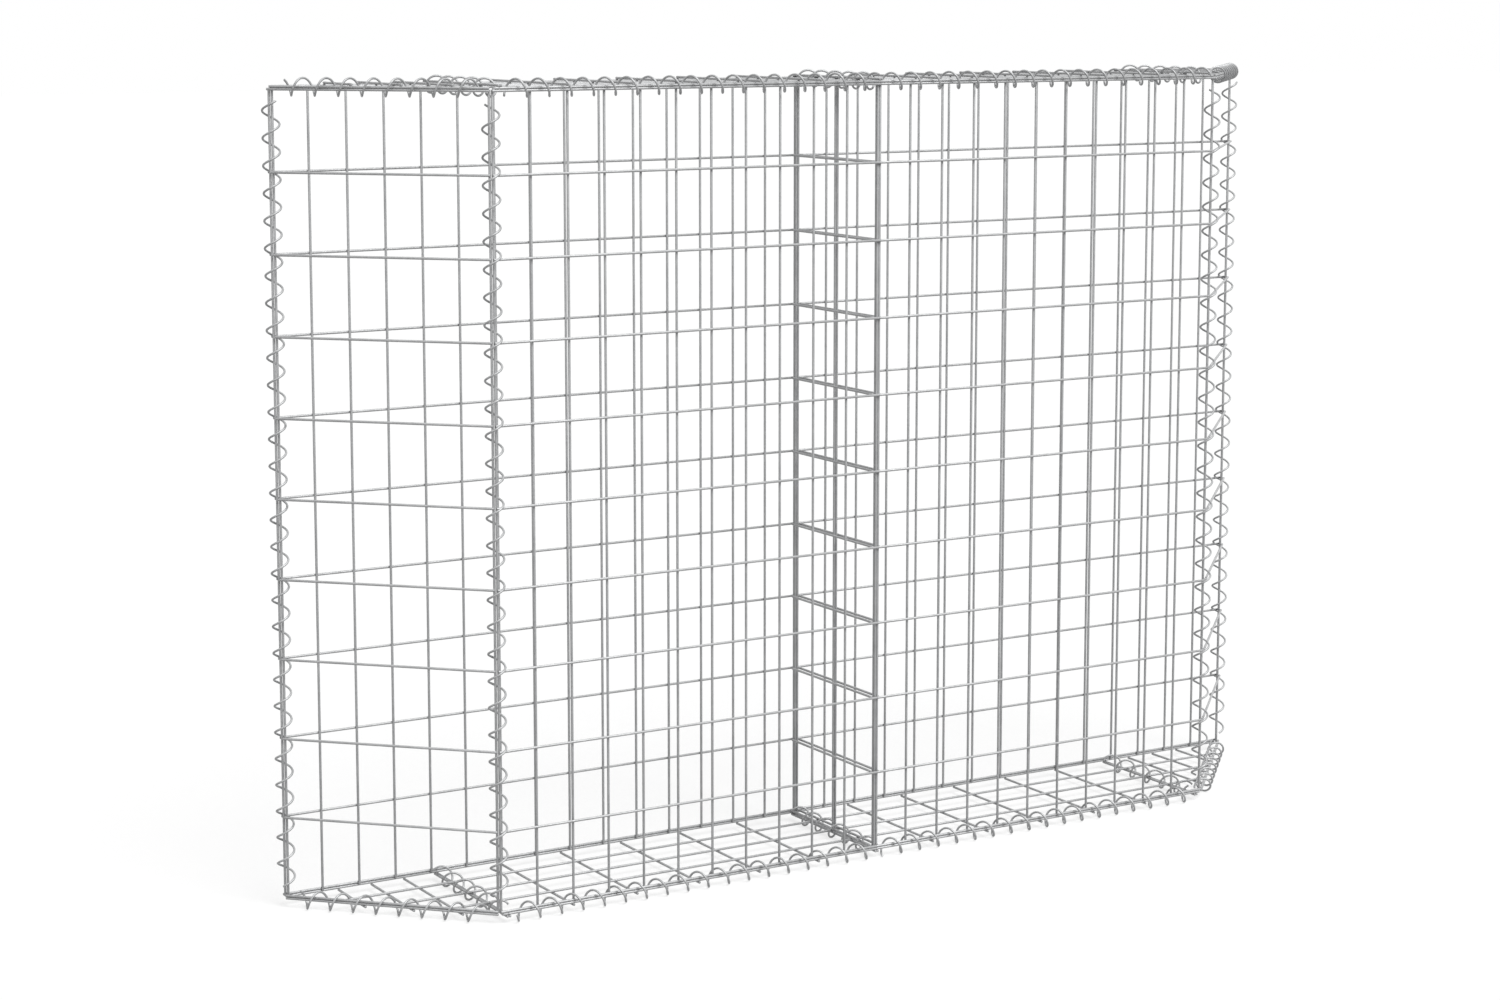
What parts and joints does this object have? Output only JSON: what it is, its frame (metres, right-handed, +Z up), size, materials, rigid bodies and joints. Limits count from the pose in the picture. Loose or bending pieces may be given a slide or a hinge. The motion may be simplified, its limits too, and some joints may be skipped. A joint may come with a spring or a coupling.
{
  "type": "gabion raised bed",
  "caption": "Tall, narrow wire basket with slanted ends, of galvanised welded mesh panels laced together with wire spirals, to be filled with stones or soil as a raised bed.",
  "frame": {"origin": "on the ground, below the middle of the basket's overall box", "axes": "+X along the long back to the right of someone who faces the short front, +Y from front to back, +Z up"},
  "size_m": [1.5174, 0.2256, 1.0306],
  "materials": {
    "mesh_wire": "galvanised",
    "spiral_wire": "galvanised"
  },
  "bodies": {
    "root": {"left_back_corner_spiral": "spiral_wire", "left_back_panel": "mesh_wire", "left_bottom_corner": "mesh_wire", "left_bottom_cross_spiral": "spiral_wire", "left_bottom_end_spiral": "spiral_wire", "left_bottom_front_spiral": "spiral_wire", "left_bottom_panel": "mesh_wire", "left_divider_panel": "mesh_wire", "left_end_panel": "mesh_wire", "left_front_corner_spiral": "spiral_wire", "left_front_panel": "mesh_wire", "left_top_corner": "mesh_wire", "left_top_cross_spiral": "spiral_wire", "left_top_end_spiral": "spiral_wire", "left_top_front_spiral": "spiral_wire", "left_top_panel": "mesh_wire", "middle_bottom_cross_spiral": "spiral_wire", "middle_top_cross_spiral": "spiral_wire", "right_back_corner_spiral": "spiral_wire", "right_back_panel": "mesh_wire", "right_bottom_corner": "mesh_wire", "right_bottom_cross_spiral": "spiral_wire", "right_bottom_end_spiral": "spiral_wire", "right_bottom_front_spiral": "spiral_wire", "right_bottom_panel": "mesh_wire", "right_divider_panel": "mesh_wire", "right_end_panel": "mesh_wire", "right_front_corner_spiral": "spiral_wire", "right_front_panel": "mesh_wire", "right_top_corner": "mesh_wire", "right_top_cross_spiral": "spiral_wire", "right_top_end_spiral": "spiral_wire", "right_top_front_spiral": "spiral_wire", "right_top_panel": "mesh_wire"}
  },
  "joints": []
}
